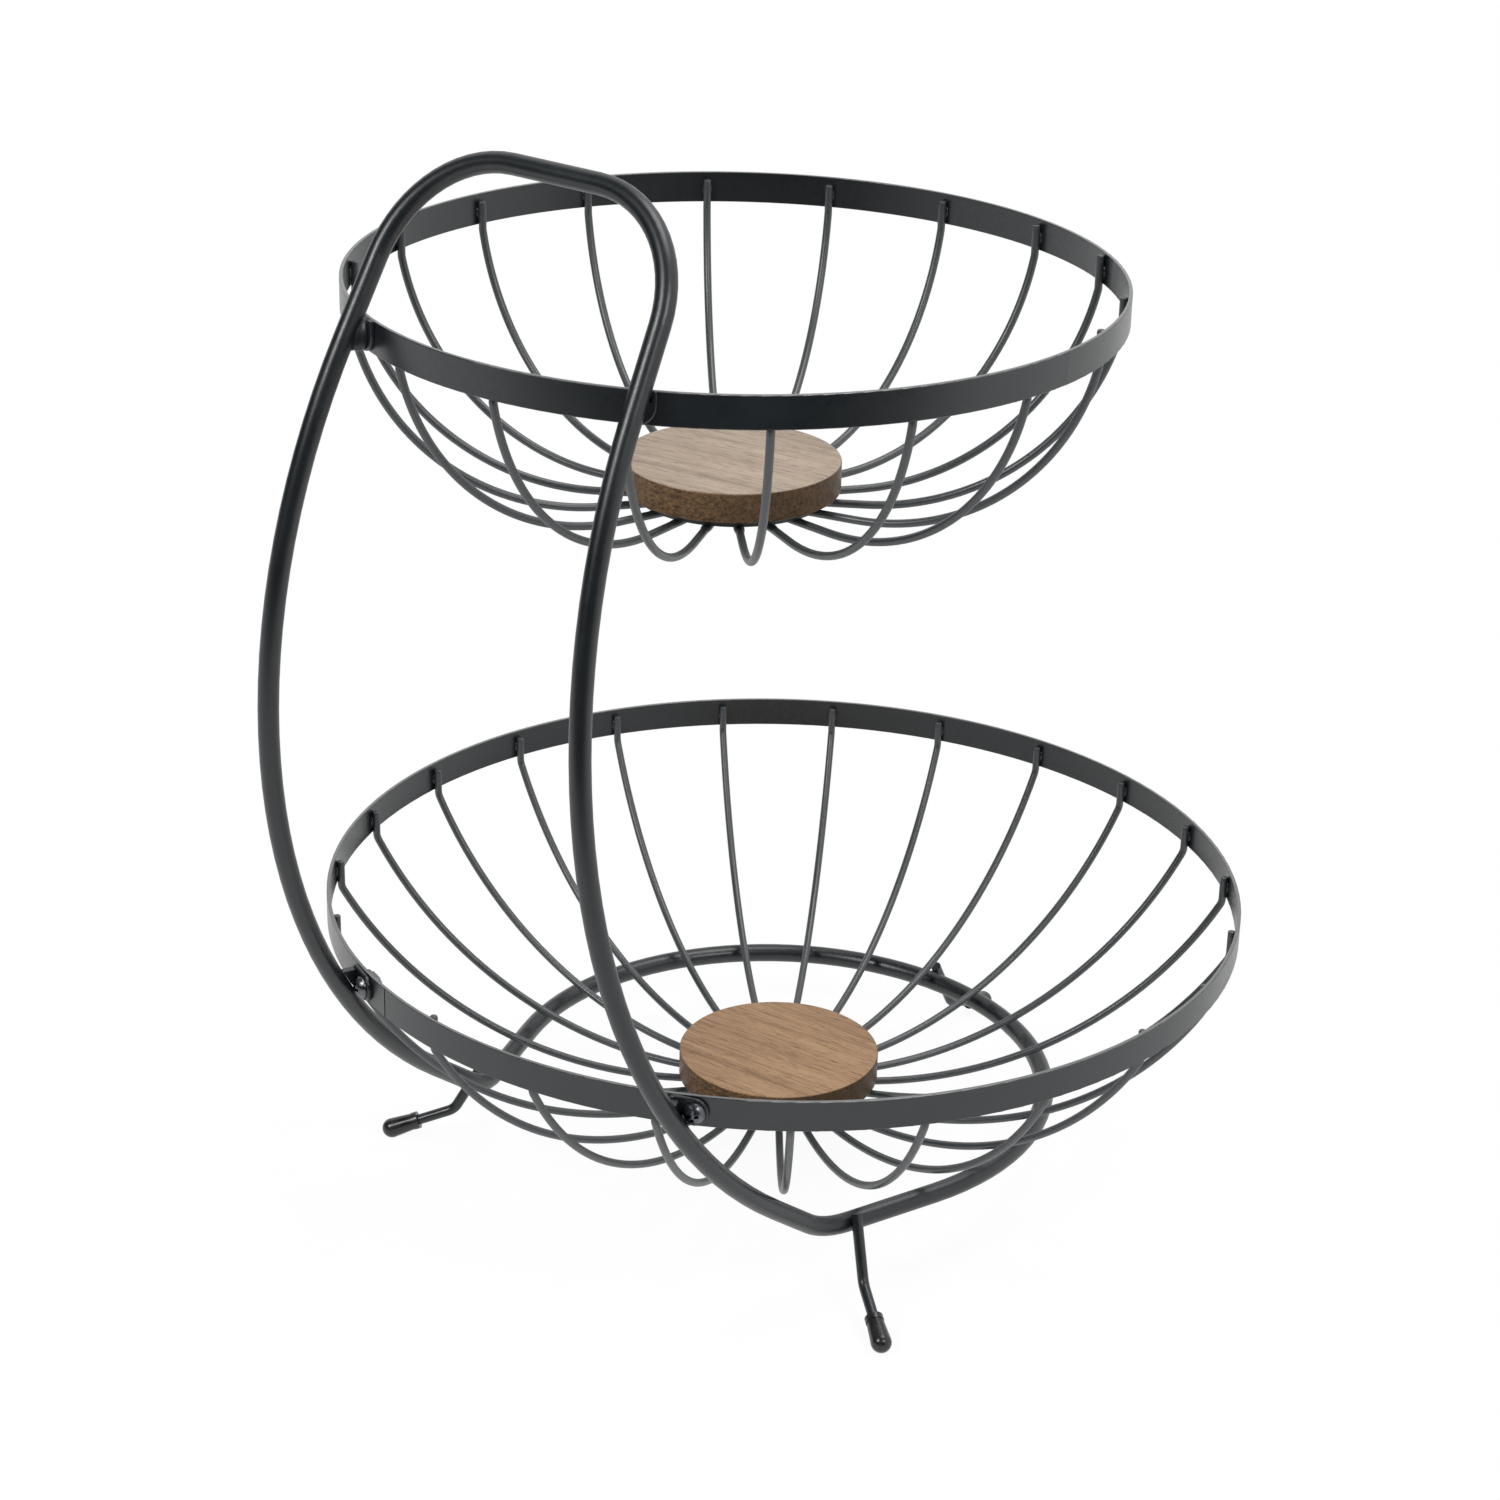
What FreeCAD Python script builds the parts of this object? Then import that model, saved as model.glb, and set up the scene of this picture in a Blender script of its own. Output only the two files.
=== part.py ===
import FreeCAD, Part
import math
import os
import Sketcher

# Two-tier wire basket. The origin is on the ground under the axis of the lower bowl, Z is up,
# and the handle side faces -Y. Angles round a bowl are measured from the front, towards +X.

doc = FreeCAD.newDocument("tiered_wire_basket")
sheet = doc.addObject("Spreadsheet::Sheet", "sizes")

SIZES = (
    # wire and strip
    ("rod_dia", 6.3),
    ("rib_dia", 2.5),
    ("foot_dia", 3.5),
    ("strip_height", 10.0),
    ("strip_thick", 1.2),
    ("strip_edge", 0.3),
    ("seam_angle", -18.0),
    ("seam_width", 0.6),
    ("seam_depth", 0.2),
    # lower bowl
    ("lower_radius", 150.0),
    ("lower_top", 100.0),
    ("lower_hub_drop", 76.5),
    ("lower_curve", 130.0),
    ("lower_ribs", 23),
    ("lower_turn", -1.2),
    # upper bowl
    ("upper_radius", 118.0),
    ("upper_top", 313.0),
    ("upper_ahead", 33.0),
    ("upper_hub_drop", 70.3),
    ("upper_curve", 76.0),
    ("upper_ribs", 18),
    ("upper_turn", 2.5),
    # ribs, both bowls
    ("rib_start", 3.5),
    ("rib_run", 1.5),
    ("rib_bend", 5.0),
    ("rib_end_radius", 24.0),
    # hub plates, wooden discs and their screws
    ("hub_radius", 29.5),
    ("hub_thick", 2.5),
    ("disc_radius", 33.5),
    ("disc_thick", 9.5),
    ("disc_edge", 0.6),
    ("disc_screws", 3),
    ("disc_screw_ring", 14.0),
    ("disc_screw_dia", 3.0),
    ("disc_screw_length", 9.0),
    ("disc_screw_head", 6.0),
    ("disc_screw_head_height", 1.8),
    ("disc_screw_head_edge", 0.4),
    # frame rod
    ("leg_angle", 25.0),
    ("bow_radius", 202.0),
    ("handle_height", 358.7),
    ("handle_bend", 36.0),
    ("shin_length", 14.0),
    ("ankle_out", 9.6),
    ("ankle_step", 0.5),
    ("ankle_bend", 26.0),
    ("base_radius", 90.0),
    # lugs, rim screws and nuts
    ("screw_aside", 5.5),
    ("lug_thick", 1.2),
    ("lug_edge", 0.6),
    ("lug_end_radius", 4.5),
    ("lug_root_radius", 3.2),
    ("lug_root_rise", 1.7),
    ("upper_lug_aside", 3.0),
    ("upper_lug_length", 5.3),
    ("upper_lug_notch", 2.0),
    ("upper_lug_corner", 6.0),
    ("web_thick", 2.4),
    ("web_near", 1.5),
    ("web_far", 4.0),
    ("rim_screw_dia", 4.0),
    ("rim_screw_head", 7.0),
    ("rim_screw_head_height", 2.6),
    ("rim_screw_head_edge", 0.5),
    ("rim_screw_length", 6.0),
    ("rim_nut_width", 7.0),
    ("rim_nut_height", 2.2),
    ("recess_width", 1.0),
    ("recess_span", 3.8),
    ("recess_depth", 1.3),
    # feet
    ("front_foot_angle", 51.5),
    ("rear_foot_angle", 180.0),
    ("foot_out", 35.6),
    ("toe_length", 22.6),
    ("toe_slope", 20.0),
    ("foot_bend", 6.0),
    ("foot_stub", 2.0),
    ("cap_radius", 3.3),
    ("cap_neck_radius", 2.75),
    ("cap_length", 13.0),
    ("cap_collar_radius", 2.95),
    ("cap_collar_length", 2.0),
    ("cap_bore_depth", 9.5),
    ("cap_flat", 0.5),
    # clearances
    ("rod_clear", 0.4),
    ("leg_clear", 0.2),
    ("ring_clear", 4.2),
    ("weld_gap", 0.05),
    ("lug_clear", 0.1),
    ("hole_clear", 0.3),
    ("thread_clear", 0.1),
    ("cap_clear", 0.05),
)
for row, (name, value) in enumerate(SIZES, start=1):
    sheet.set("A%d" % row, name)
    sheet.set("B%d" % row, str(value))
    sheet.setAlias("B%d" % row, name)
doc.recompute()
size = {name: float(sheet.get(name)) for name, value in SIZES}

Vec = FreeCAD.Vector
UP = Vec(0, 0, 1)
FRONT = -90.0
LEG_SAMPLES = 40
rod_radius = size["rod_dia"] / 2
nodes = []


def turned(angle, centre=Vec(0, 0, 0)):
    """A placement turned about the vertical through a centre, by an angle in degrees."""
    return FreeCAD.Placement(centre, FreeCAD.Rotation(UP, angle))


def new_body(label, placement=None, node=True):
    body = doc.addObject("PartDesign::Body", label)
    body.Label = label
    if placement is not None:
        body.Placement = placement
    if node:
        nodes.append(body)
    return body


def new_sketch(body, name, plane, lift=0.0, turn=None):
    """A sketch on one of the body's own planes, lifted along its normal or turned in place."""
    sketch = body.newObject("Sketcher::SketchObject", body.Label + "_" + name)
    support = next(item for item in body.Origin.OriginFeatures if item.Role == plane)
    sketch.AttachmentSupport = [(support, "")]
    sketch.MapMode = "FlatFace"
    rotation = turn if turn is not None else FreeCAD.Rotation()
    sketch.AttachmentOffset = FreeCAD.Placement(Vec(0, 0, lift), rotation)
    return sketch


def flat(x, y):
    return Vec(x, y, 0)


def add_chain(sketch, curves, closed=False):
    """Adds curves that follow each other and ties each end to the next start."""
    first = len(sketch.Geometry)
    for curve in curves:
        sketch.addGeometry(curve, False)
    count = len(curves)
    for step in range(count if closed else count - 1):
        after = (step + 1) % count
        for end in (1, 2):
            for start in (1, 2):
                here = sketch.getPoint(first + step, end)
                there = sketch.getPoint(first + after, start)
                if here.distanceToPoint(there) < 1e-6:
                    tie = Sketcher.Constraint("Coincident", first + step, end, first + after, start)
                    sketch.addConstraint(tie)


def add_outline(sketch, corners):
    """A closed outline of straight edges."""
    points = [flat(*corner) for corner in corners]
    add_chain(sketch, [Part.LineSegment(a, b) for a, b in zip(points, points[1:] + points[:1])], True)


def add_circle(sketch, centre, expression):
    """A circle whose radius is bound to the sheet."""
    radius = 1.0
    index = sketch.addGeometry(Part.Circle(flat(*centre), UP, radius), False)
    rule = sketch.addConstraint(Sketcher.Constraint("Radius", index, radius))
    sketch.addConstraint(Sketcher.Constraint("DistanceX", -1, 1, index, 3, centre[0]))
    sketch.addConstraint(Sketcher.Constraint("DistanceY", -1, 1, index, 3, centre[1]))
    sketch.setExpression("Constraints[%d]" % rule, expression)


def round_corner(before, corner, after, radius):
    """The two tangent points and the middle of the arc that rounds a corner."""
    back = (before - corner).normalize()
    ahead = (after - corner).normalize()
    half = back.getAngle(ahead) / 2
    reach = radius / math.tan(half)
    axis = (back + ahead).normalize()
    middle = corner + axis * (radius / math.sin(half) - radius)
    return corner + back * reach, middle, corner + ahead * reach


def arc(points):
    return Part.Arc(*points)


def dome(radius, edge, crown):
    """A round head's outline as an arc, from the edge of the head to its crown on the axis."""
    rise = crown - edge
    ball = (radius ** 2 + rise ** 2) / (2 * rise)
    half = math.asin(radius / ball) / 2
    middle = flat(ball * math.sin(half), crown - ball + ball * math.cos(half))
    return Part.Arc(flat(radius, edge), middle, flat(0, crown))


def pad(body, sketch, expression, reverse=False):
    feature = body.newObject("PartDesign::Pad", sketch.Label + "_pad")
    feature.Profile = sketch
    feature.Reversed = reverse
    feature.setExpression("Length", expression)
    return feature


def pocket(body, sketch, expression, reverse=False):
    feature = body.newObject("PartDesign::Pocket", sketch.Label + "_cut")
    feature.Profile = sketch
    feature.Reversed = reverse
    feature.setExpression("Length", expression)
    return feature


def revolve(body, sketch, axis="V_Axis"):
    feature = body.newObject("PartDesign::Revolution", sketch.Label + "_turn")
    feature.Profile = sketch
    feature.ReferenceAxis = (sketch, [axis])
    feature.Angle = 360.0
    return feature


def pipe(body, profile, spine):
    feature = body.newObject("PartDesign::AdditivePipe", spine.Label + "_pipe")
    feature.Profile = profile
    feature.Spine = spine
    return feature


def shape_edges(feature, wanted):
    """Names of the edges of a feature that a test picks out."""
    doc.recompute()
    return ["Edge%d" % n for n, edge in enumerate(feature.Shape.Edges, start=1) if wanted(edge)]


class Bowl:
    """Sizes of one bowl that follow from its entries in the sheet."""

    def __init__(self, name, ahead):
        self.name = name
        self.centre = Vec(0, -ahead, 0)
        self.radius = size[name + "_radius"]
        self.top = size[name + "_top"]
        self.middle = self.top - size["strip_height"] / 2
        self.first_rib = 90 + size[name + "_turn"]
        self.count = int(size[name + "_ribs"])
        self.curve = size[name + "_curve"]
        # the hub plate lies on the ribs, and the wooden disc lies on the hub plate
        self.hub_under = self.top - size[name + "_hub_drop"]
        self.disc_under = self.hub_under + size["hub_thick"]
        self.rib_level = self.hub_under - size["weld_gap"] - size["rib_dia"] / 2
        # a rib runs down the inside of the strip, bends in and follows one arc to the hub
        self.rib_radius = self.radius - size["strip_thick"] - size["weld_gap"] - size["rib_dia"] / 2
        self.rib_top = self.top - size["rib_start"]
        self.bend_level = self.top - size["strip_height"] - size["rib_run"]
        self.curve_level = self.rib_level + self.curve
        rise = self.curve_level - self.bend_level
        self.curve_radius = self.rib_radius - math.sqrt(self.curve ** 2 - rise ** 2)


lower = Bowl("lower", 0.0)
upper = Bowl("upper", size["upper_ahead"])


def lug_turn(bowl):
    """Angle round the rim from a leg to the middle of its lug."""
    aside = size["screw_aside"] if bowl is lower else size["upper_lug_aside"]
    return math.degrees(aside / bowl.radius)


def lug_angle(bowl, side):
    return side * size["leg_angle"] + lug_turn(bowl)


# Rims: a flat strip rolled into a ring, with softened edges.
def make_rim(bowl):
    body = new_body(bowl.name + "_rim", turned(0, bowl.centre))
    sketch = new_sketch(body, "section", "XZ_Plane")
    inside = bowl.radius - size["strip_thick"]
    below = bowl.top - size["strip_height"]
    add_outline(sketch, ((inside, below), (bowl.radius, below), (bowl.radius, bowl.top), (inside, bowl.top)))
    ring = revolve(body, sketch)
    soft = body.newObject("PartDesign::Fillet", bowl.name + "_rim_edges")
    soft.Base = (ring, shape_edges(ring, lambda edge: len(edge.Vertexes) == 1))
    soft.setExpression("Radius", "sizes.strip_edge")
    return body


def bore_rim(body, bowl):
    """The two screw holes of a rim that is screwed to its lugs."""
    for side in (-1, 1):
        turn = FreeCAD.Rotation(Vec(0, 1, 0), lug_angle(bowl, side))
        hole = new_sketch(body, "hole_left" if side < 0 else "hole_right", "XZ_Plane", 0, turn)
        add_circle(hole, (0, bowl.middle), "(sizes.rim_screw_dia + sizes.hole_clear) / 2")
        pocket(body, hole, "sizes.%s_radius + sizes.strip_thick" % bowl.name, True)


def mark_seam(body, bowl):
    """The shallow line across the outside of a rim where the ends of the strip are welded."""
    turn = FreeCAD.Rotation(Vec(0, 1, 0), size["seam_angle"])
    seam = new_sketch(body, "seam", "XZ_Plane", 0, turn)
    half = size["seam_width"] / 2
    below = bowl.top - size["strip_height"]
    add_outline(seam, ((-half, below), (half, below), (half, bowl.top), (-half, bowl.top)))
    seam.AttachmentOffset = FreeCAD.Placement(turn.multVec(Vec(0, 0, bowl.radius - size["seam_depth"])), turn)
    pocket(body, seam, "sizes.strip_thick", True)


lower_rim = make_rim(lower)
bore_rim(lower_rim, lower)
mark_seam(lower_rim, lower)
make_rim(upper)


# Ribs: one bent wire each, welded to the strip above and to the hub plate below.
def make_rib(bowl, number):
    angle = bowl.first_rib + 360.0 * number / bowl.count
    body = new_body("%s_rib_%02d" % (bowl.name, number + 1), turned(angle, bowl.centre))
    spine = new_sketch(body, "line", "XZ_Plane")
    start = flat(bowl.rib_radius, bowl.rib_top)
    bend = flat(bowl.rib_radius, bowl.bend_level)
    centre = flat(bowl.curve_radius, bowl.curve_level)
    foot = flat(bowl.curve_radius, bowl.rib_level)
    end = flat(size["rib_end_radius"], bowl.rib_level)
    # the bend between the straight run and the arc touches both
    drop = bowl.curve - size["rib_bend"]
    across = bowl.rib_radius - size["rib_bend"] - centre.x
    corner = flat(centre.x + across, centre.y - math.sqrt(drop ** 2 - across ** 2))
    leave = flat(bowl.rib_radius, corner.y)
    outward = (corner - centre).normalize()
    join = centre + outward * bowl.curve
    bisect = (Vec(1, 0, 0) + outward).normalize()
    sweep = (outward + Vec(0, -1, 0)).normalize()
    curves = [
        Part.LineSegment(start, leave),
        arc((leave, corner + bisect * size["rib_bend"], join)),
        arc((join, centre + sweep * bowl.curve, foot)),
        Part.LineSegment(foot, end),
    ]
    add_chain(spine, curves)
    profile = new_sketch(body, "section", "XY_Plane", bowl.rib_top)
    add_circle(profile, (bowl.rib_radius, 0), "sizes.rib_dia / 2")
    pipe(body, profile, spine)


for bowl in (lower, upper):
    for number in range(bowl.count):
        make_rib(bowl, number)


# Hub plates, wooden discs and the screws that hold a disc down.
def screw_places():
    count = int(size["disc_screws"])
    for number in range(count):
        angle = math.radians(90 + 360.0 * number / count)
        yield size["disc_screw_ring"] * math.cos(angle), size["disc_screw_ring"] * math.sin(angle)


def make_hub(bowl):
    body = new_body(bowl.name + "_hub", turned(0, bowl.centre))
    plate = new_sketch(body, "plate", "XY_Plane", bowl.hub_under)
    add_circle(plate, (0, 0), "sizes.hub_radius")
    pad(body, plate, "sizes.hub_thick")
    holes = new_sketch(body, "holes", "XY_Plane", bowl.hub_under)
    for place in screw_places():
        add_circle(holes, place, "(sizes.disc_screw_dia + sizes.hole_clear) / 2")
    pocket(body, holes, "sizes.hub_thick", True)


def make_disc(bowl):
    body = new_body(bowl.name + "_disc", turned(0, bowl.centre))
    round_plan = new_sketch(body, "plan", "XY_Plane", bowl.disc_under)
    add_circle(round_plan, (0, 0), "sizes.disc_radius")
    block = pad(body, round_plan, "sizes.disc_thick")
    soft = body.newObject("PartDesign::Fillet", bowl.name + "_disc_edges")
    soft.Base = (block, shape_edges(block, lambda edge: len(edge.Vertexes) == 1))
    soft.setExpression("Radius", "sizes.disc_edge")
    holes = new_sketch(body, "holes", "XY_Plane", bowl.disc_under)
    for place in screw_places():
        add_circle(holes, place, "(sizes.disc_screw_dia + sizes.thread_clear) / 2")
    pocket(body, holes, "sizes.disc_screw_length - sizes.hub_thick + sizes.hole_clear", True)


def make_disc_screw(bowl, number, place):
    """A pan-head wood screw that points up, its head under the hub plate."""
    spot = bowl.centre + Vec(place[0], place[1], bowl.hub_under)
    body = new_body("%s_disc_screw_%d" % (bowl.name, number), turned(0, spot), False)
    outline = new_sketch(body, "outline", "XZ_Plane")
    head = size["disc_screw_head"] / 2
    shank = size["disc_screw_dia"] / 2
    height = size["disc_screw_head_height"]
    length = size["disc_screw_length"]
    edge = size["disc_screw_head_edge"]
    points = [flat(0, -height), flat(0, length), flat(shank, length - 2 * shank)]
    points += [flat(shank, 0), flat(head, 0), flat(head, -edge)]
    curves = [Part.LineSegment(a, b) for a, b in zip(points, points[1:])]
    curves.append(dome(head, -edge, -height))
    add_chain(outline, curves, True)
    revolve(body, outline)
    return body


disc_screws = []
for bowl in (lower, upper):
    make_hub(bowl)
    make_disc(bowl)
    for number, place in enumerate(screw_places(), start=1):
        disc_screws.append(make_disc_screw(bowl, number, place))


# Frame rod: handle, bowed legs, ankles and base ring, bent from one rod and closed by a weld.
# The base ring passes close under the ribs of the lower bowl, and catches them under a load.
below_ribs = lower.curve + size["rib_dia"] / 2 + size["ring_clear"] + rod_radius
base_level = lower.curve_level - math.sqrt(below_ribs ** 2 - (size["base_radius"] - lower.curve_radius) ** 2)


def rib_room(point):
    """Room between the nearest rib of the lower bowl and the rod, where the rod's axis is at a point."""
    pitch = 2 * math.pi / lower.count
    turn = (math.atan2(point.y, point.x) - math.radians(lower.first_rib)) % pitch
    turn = min(turn, pitch - turn)
    reach = math.hypot(point.x, point.y)
    beside = reach * math.sin(turn)
    below = math.hypot(reach * math.cos(turn) - lower.curve_radius, point.z - lower.curve_level) - lower.curve
    touching = size["rib_dia"] / 2 + rod_radius
    crossing = beside < touching + size["rod_clear"]
    return (below if crossing else beside) - touching


def leg_point(bowl, stand_off):
    """Where the axis of the right leg passes the middle of a rim."""
    angle = math.radians(size["leg_angle"])
    reach = bowl.radius + stand_off
    return bowl.centre + Vec(reach * math.sin(angle), -reach * math.cos(angle), bowl.middle)


def leg_frame(stand_off):
    """The bow: an arc in the leaning plane of the leg, through the leg's points on both rims."""
    high = leg_point(upper, stand_off)
    low = leg_point(lower, stand_off)
    front = Vec(0, -1, 0)
    down = low - high
    down.y = 0
    down.normalize()
    chord = low - high
    span = chord.Length
    inward = (down * chord.dot(front) - front * chord.dot(down)) * (1 / span)
    centre = (high + low) * 0.5 + inward * math.sqrt(size["bow_radius"] ** 2 - span ** 2 / 4)
    high_turn = math.asin((centre - high).dot(down) / size["bow_radius"])
    low_turn = math.asin((centre - low).dot(down) / size["bow_radius"])
    return high, low, centre, down, front, high_turn, low_turn


def rod_stand_off():
    """Distance from a rim to the rod's axis at which the leaning rod just clears the strip's edge."""
    stand_off = rod_radius
    for again in range(6):
        lean = max(abs(turn) for turn in leg_frame(stand_off)[5:])
        lean = math.atan(math.tan(lean) * math.cos(math.radians(size["leg_angle"])))
        clear = rod_radius + size["rod_clear"] + size["strip_height"] / 2 * math.sin(lean)
        stand_off = clear / math.cos(lean)
    return stand_off


stand_off = rod_stand_off()
high, low, bow_centre, down, front, high_turn, low_turn = leg_frame(stand_off)


def bow_point(turn):
    return bow_centre + (front * math.cos(turn) - down * math.sin(turn)) * size["bow_radius"]


def bow_course(turn):
    """Direction of the leg, downwards, where it has turned by an angle from the leaning plane's fall."""
    return down * math.cos(turn) + front * math.sin(turn)


course = bow_course(high_turn)
shoulder = high + course * ((size["handle_height"] - high.z) / course.z)
crown = Vec(0, shoulder.y, size["handle_height"])
# the ankle is the corner where the shin, a straight end of the bow, meets the level of the base
fall = (base_level - bow_centre.z) / down.z
aside = bow_centre.x + fall * down.x


def ankle_at(ahead):
    """The bow's turn where the shin leaves it, the shin's start, and the ankle that far ahead."""
    turn = math.acos(size["bow_radius"] / math.hypot(fall, ahead)) - math.atan2(fall, ahead)
    return turn, bow_point(turn), bow_centre + down * fall + front * ahead


def leg_room(turn, start, end):
    """The least room between the ribs and both legs, from the lower rim to the ankle."""
    shares = [step / LEG_SAMPLES for step in range(LEG_SAMPLES + 1)]
    points = [bow_point(low_turn + (turn - low_turn) * share) for share in shares]
    points += [start + (end - start) * share for share in shares]
    points += [Vec(-point.x, point.y, point.z) for point in points]
    return min(rib_room(point) for point in points)


ring_ahead = bow_centre.y + math.sqrt((size["base_radius"] + size["ankle_out"]) ** 2 - aside ** 2)
shin_ahead = math.sqrt(max(0.0, size["bow_radius"] ** 2 + size["shin_length"] ** 2 - fall ** 2))
ahead = max(ring_ahead, shin_ahead)
while leg_room(*ankle_at(ahead)) < size["leg_clear"]:
    ahead += size["ankle_step"]
ankle_turn, bow_end, ankle = ankle_at(ahead)
ring_centre = Vec(0, 0, base_level)
ankle_reach = math.hypot(ankle.x, ankle.y)
touch_angle = math.atan2(ankle.y, ankle.x) + math.acos(size["base_radius"] / ankle_reach)


def ring_point(angle):
    return ring_centre + Vec(math.cos(angle), math.sin(angle), 0) * size["base_radius"]


touch = ring_point(touch_angle)
rear = ring_point(math.pi / 2)
handle_arc = round_corner(crown, shoulder, high, size["handle_bend"])
ankle_arc = round_corner(bow_end, ankle, touch, size["ankle_bend"])
rod_edges = [
    Part.LineSegment(crown, handle_arc[0]),
    arc(handle_arc),
    Part.LineSegment(handle_arc[2], high),
    arc((high, bow_point((high_turn + ankle_turn) / 2), bow_end)),
    Part.LineSegment(bow_end, ankle_arc[0]),
    arc(ankle_arc),
    Part.LineSegment(ankle_arc[2], touch),
    arc((touch, ring_point((touch_angle + math.pi / 2) / 2), rear)),
]
rod_path = doc.addObject("Part::Feature", "rod_path")
rod_path.Shape = Part.Wire([edge.toShape() for edge in rod_edges])
rod_section = doc.addObject("Part::Circle", "rod_section")
rod_section.setExpression("Radius", "sizes.rod_dia / 2")
rod_section.Placement = FreeCAD.Placement(crown, FreeCAD.Rotation(UP, Vec(1, 0, 0)))
rod_half = doc.addObject("Part::Sweep", "rod_half")
rod_half.Sections = [rod_section]
rod_half.Spine = (rod_path, ["Edge%d" % (n + 1) for n in range(len(rod_edges))])
rod_half.Solid = True
rod_half.Transition = "Transformed"
rod_other = doc.addObject("Part::Mirroring", "rod_other_half")
rod_other.Source = rod_half
rod_other.Normal = Vec(1, 0, 0)
frame_rod = doc.addObject("Part::MultiFuse", "frame_rod")
frame_rod.Label = "frame_rod"
frame_rod.Shapes = [rod_half, rod_other]
frame_rod.Refine = True
nodes.append(frame_rod)


# Lugs: flat tabs on the rims that reach behind the legs, each with a web that is welded to its
# leg. All four point the same way from their leg, as in the photograph.
def lug_placement(bowl, side):
    angle = lug_angle(bowl, side)
    reach = math.radians(angle)
    spot = bowl.centre + Vec(bowl.radius * math.sin(reach), -bowl.radius * math.cos(reach), bowl.middle)
    return turned(angle, spot)


def rod_course(bowl, side):
    """The leg in its lug's frame: its place along the rim and out from it, and the slope of each."""
    angle = math.radians(lug_angle(bowl, side))
    along = Vec(math.cos(angle), math.sin(angle), 0)
    outward = Vec(math.sin(angle), -math.cos(angle), 0)
    leg = high if bowl is upper else low
    course = bow_course(high_turn if bowl is upper else low_turn)
    gap = Vec(side * leg.x, leg.y, leg.z) - lug_placement(bowl, side).Base
    course = Vec(side * course.x, course.y, course.z) * (1 / course.z)
    return gap.dot(along), gap.dot(outward), course.dot(along), course.dot(outward)


def round_tab(root):
    """A tab with one round end about the screw and one behind the leg, joined by tangents."""
    end_radius = size["lug_end_radius"]
    root_radius = size["lug_root_radius"]
    facing = math.atan2(root.y, root.x)
    spread = math.acos((end_radius - root_radius) / root.Length)

    def about(centre, radius, angle):
        return centre + flat(math.cos(angle), math.sin(angle)) * radius

    turns = (facing + spread, facing, facing - spread)
    back = [about(root, root_radius, turn) for turn in turns]
    end = [about(flat(0, 0), end_radius, turn) for turn in (turns[2], facing + math.pi, turns[0])]
    return [arc(back), Part.LineSegment(back[2], end[0]), arc(end), Part.LineSegment(end[2], back[0])]


def is_arc(edge):
    return edge.Curve.TypeId == "Part::GeomCircle"


def notched_tab(place, slant):
    """A tab as high as the strip, cut back beside the leg where the leg comes close to the strip."""
    half = size["strip_height"] / 2
    notch = size["upper_lug_notch"]
    beside = place + (rod_radius + size["rod_clear"]) * math.hypot(1, slant)
    near = place - size["lug_root_radius"]
    far = place + size["upper_lug_length"]
    points = [flat(far, half), flat(beside + slant * half, half), flat(beside + slant * notch, notch)]
    points += [flat(near, notch), flat(near, -half)]
    rounded = round_corner(points[-1], flat(far, -half), points[0], size["upper_lug_corner"])
    points.append(rounded[0])
    edges = [Part.LineSegment(a, b) for a, b in zip(points, points[1:])]
    return edges + [arc(rounded), Part.LineSegment(rounded[2], points[0])]


def make_lug(bowl, side, screwed):
    name = "%s_lug_%s" % (bowl.name, "left" if side < 0 else "right")
    body = new_body(name, lug_placement(bowl, side), False)
    place, out, slant, lean = rod_course(bowl, side)
    tab = new_sketch(body, "tab", "XZ_Plane", size["lug_clear"])
    edges = round_tab(flat(place, size["lug_root_rise"])) if screwed else notched_tab(place, slant)
    add_chain(tab, edges, True)
    plate = pad(body, tab, "sizes.lug_thick")
    # the round edges on the outside are softened, and with them the straight ones that they run into
    outside = size["lug_clear"] + size["lug_thick"] / 2
    soft = body.newObject("PartDesign::Fillet", name + "_edges")
    soft.Base = (plate, shape_edges(plate, lambda edge: is_arc(edge) and abs(edge.CenterOfMass.y) > outside))
    soft.setExpression("Radius", "sizes.lug_edge")
    # the web fills the wedge between tab and leg, at the heights where the leg stands off
    web = new_sketch(body, "web", "YZ_Plane", place - size["web_thick"] / 2)
    away = math.copysign(1.0, lean)
    weld = (rod_radius + size["lug_clear"]) * math.hypot(1, lean)
    heights = (-away * size["web_near"], away * size["web_far"])
    corners = [(-size["lug_clear"], heights[0])]
    corners += [(weld - out - lean * height, height) for height in heights]
    corners.append((-size["lug_clear"], heights[1]))
    add_outline(web, corners)
    pad(body, web, "sizes.web_thick")
    if screwed:
        hole = new_sketch(body, "hole", "XZ_Plane", size["lug_clear"])
        add_circle(hole, (0, 0), "(sizes.rim_screw_dia + sizes.hole_clear) / 2")
        pocket(body, hole, "sizes.lug_thick", True)
    return body


def make_group(name, members):
    """One node that holds several separate solids."""
    group = doc.addObject("Part::Compound", name)
    group.Label = name
    group.Links = members
    nodes.append(group)


make_group("lower_lugs", [make_lug(lower, side, True) for side in (-1, 1)])
make_group("upper_lugs", [make_lug(upper, side, False) for side in (-1, 1)])
make_group("disc_screws", disc_screws)


# Rim screws with a cross recess, from outside through lug and strip, and their nuts inside.
def rim_screw_placement(side):
    return lug_placement(lower, side) * FreeCAD.Placement(Vec(), FreeCAD.Rotation(Vec(1, 0, 0), 90))


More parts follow.
